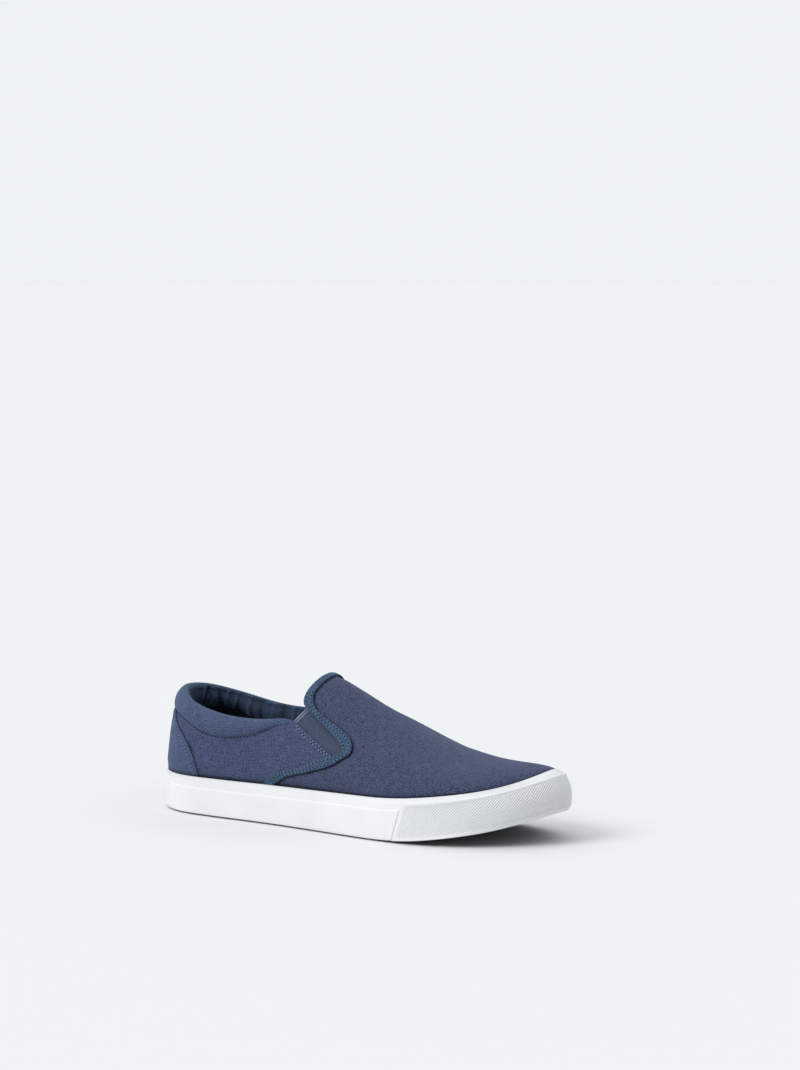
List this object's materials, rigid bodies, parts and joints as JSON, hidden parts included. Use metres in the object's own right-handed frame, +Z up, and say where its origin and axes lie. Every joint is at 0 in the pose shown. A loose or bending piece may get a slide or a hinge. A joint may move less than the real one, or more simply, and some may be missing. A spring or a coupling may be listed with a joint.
{
  "type": "slip-on canvas sneaker",
  "caption": "Low navy canvas slip-on shoe for the right foot: bound vamp, elastic side gores, padded collar, white rubber foxing and textured toe bumper.",
  "frame": {"origin": "on the floor, under the middle of the sole's length and width", "axes": "+X to the toe, +Y to the inner side of the foot, +Z up"},
  "size_m": [0.2918, 0.101, 0.0938],
  "materials": {
    "canvas": "matte fine twill cotton canvas, navy",
    "binding_tape": "matte woven cotton tape, blue-grey",
    "elastic": "fine ribbed elastic webbing, grey-navy",
    "lining_cloth": "soft brushed lining cloth, dark navy",
    "foxing_rubber": "matte white vulcanised rubber",
    "outsole_rubber": "matte dark navy rubber"
  },
  "bodies": {
    "root": {"outsole": "outsole_rubber", "foxing_tape": "foxing_rubber", "side_strip": "foxing_rubber", "toe_bumper": "foxing_rubber", "insole": "lining_cloth", "upper": "canvas", "collar_pad": "lining_cloth", "gore_outer": "elastic", "gore_inner": "elastic", "vamp_binding": "binding_tape", "heel_counter": "canvas"}
  },
  "joints": []
}
